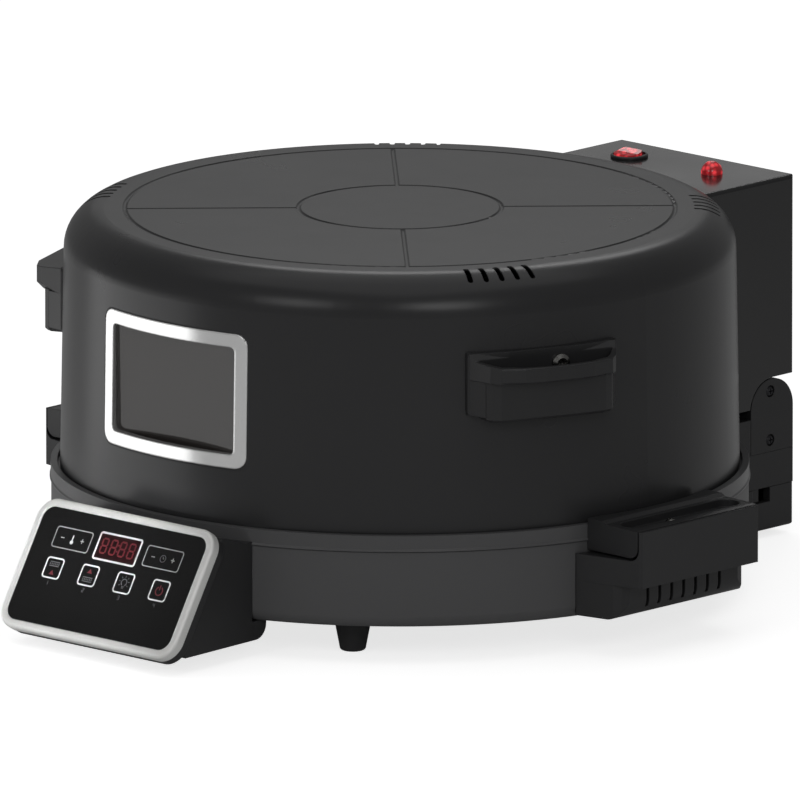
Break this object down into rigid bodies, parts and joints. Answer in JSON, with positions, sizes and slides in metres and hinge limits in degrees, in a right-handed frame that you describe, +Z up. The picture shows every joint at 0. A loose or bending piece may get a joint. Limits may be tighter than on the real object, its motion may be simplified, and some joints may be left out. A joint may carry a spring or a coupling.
{
  "type": "electric pizza maker",
  "caption": "Countertop electric pizza maker: round domed lid with window on a rear hinge, baking stone between two heaters, sloping key panel, side handles and rear switch box.",
  "frame": {"origin": "centre of the bounding box in plan, on the table plane under the feet", "axes": "+Z up, -Y towards the control panel (front), +X to the right seen from the front"},
  "size_m": [0.459, 0.5086, 0.217],
  "materials": {
    "black_paint": "heat-proof black paint on pressed steel sheet, satin",
    "zinc_sheet": "zinc-coated steel sheet",
    "steel_screws": "nickel-plated pan-head screws",
    "black_screws": "black-oxide pan-head screws",
    "black_rubber": "moulded black silicone rubber",
    "bright_sheet": "bright aluminised steel sheet",
    "element_tube": "oxidised steel sheath of a tubular heater",
    "fired_stone": "fired cordierite, matt and slightly speckled",
    "sensor_steel": "turned stainless steel",
    "black_plastic": "fine-grained black heat-proof plastic",
    "silver_trim": "silver-coated trim, satin to polished",
    "panel_film": "glossy black panel with printed keys",
    "display_filter": "dark red display filter",
    "lit_segments": "lit red segments",
    "white_plastic": "white moulded plastic",
    "circuit_board": "green glass-fibre board with parts",
    "clear_glass": "lightly smoked tempered glass",
    "white_ceramic": "unglazed white ceramic",
    "bronze": "sintered bronze bearing",
    "red_plastic": "clear red plastic"
  },
  "bodies": {
    "base": {"base_shell": "black_paint", "trim_ring": "black_paint", "bottom_plate": "zinc_sheet", "bottom_screws": "steel_screws", "foot_front_left": "black_rubber", "foot_front_right": "black_rubber", "foot_rear_left": "black_rubber", "foot_rear_right": "black_rubber", "reflector_pan": "bright_sheet", "lower_element": "element_tube", "lower_element_clips": "bright_sheet", "baking_stone": "fired_stone", "lower_thermostat": "sensor_steel", "rest_pads": "black_rubber", "base_handle_left": "black_plastic", "base_handle_right": "black_plastic", "base_grip_left": "black_plastic", "base_grip_right": "black_plastic", "grip_screws": "steel_screws", "control_housing": "black_plastic", "control_bezel": "silver_trim", "control_panel": "panel_film", "display_window": "display_filter", "display_digits": "lit_segments", "display_module": "white_plastic", "control_board": "circuit_board", "rear_housing": "black_plastic", "rear_tray": "black_plastic", "hinge_cover_left": "black_plastic", "hinge_cover_right": "black_plastic", "hinge_cover_screws": "black_screws", "hinge_pin": "sensor_steel", "power_board": "circuit_board", "cord_gland": "black_rubber"},
    "lid": {"lid_shell": "black_paint", "lid_reflector": "bright_sheet", "upper_element": "element_tube", "upper_element_clips": "bright_sheet", "upper_thermostat": "sensor_steel", "window_frame": "silver_trim", "window_seal": "black_rubber", "window_glass": "clear_glass", "window_inner_glass": "clear_glass", "lamp_holder": "white_ceramic", "lamp_bulb": "clear_glass", "lamp_glass": "clear_glass", "lid_handle_left": "black_plastic", "lid_handle_right": "black_plastic", "lid_handle_screws": "steel_screws", "rear_box": "black_paint", "rear_box_cover": "black_paint", "rear_box_screws": "steel_screws", "hinge_leaf": "black_plastic", "hinge_bushes": "bronze", "terminal_block": "white_plastic", "rocker_switch": "black_plastic", "rocker_pin": "sensor_steel", "pilot_lamp": "red_plastic"},
    "rocker": {"rocker_button": "red_plastic"}
  },
  "joints": [
    {"name": "lid_hinge", "type": "hinge", "parent": "base", "child": "lid", "pos_m": [0, 0.23564, 0.074], "axis": [-1, 0, 0], "range_deg": [0, 80]},
    {"name": "rocker_tilt", "type": "hinge", "parent": "lid", "child": "rocker", "pos_m": [-0.0316, 0.22364, 0.2015], "axis": [-1, 0, 0], "range_deg": [0, 20]}
  ]
}
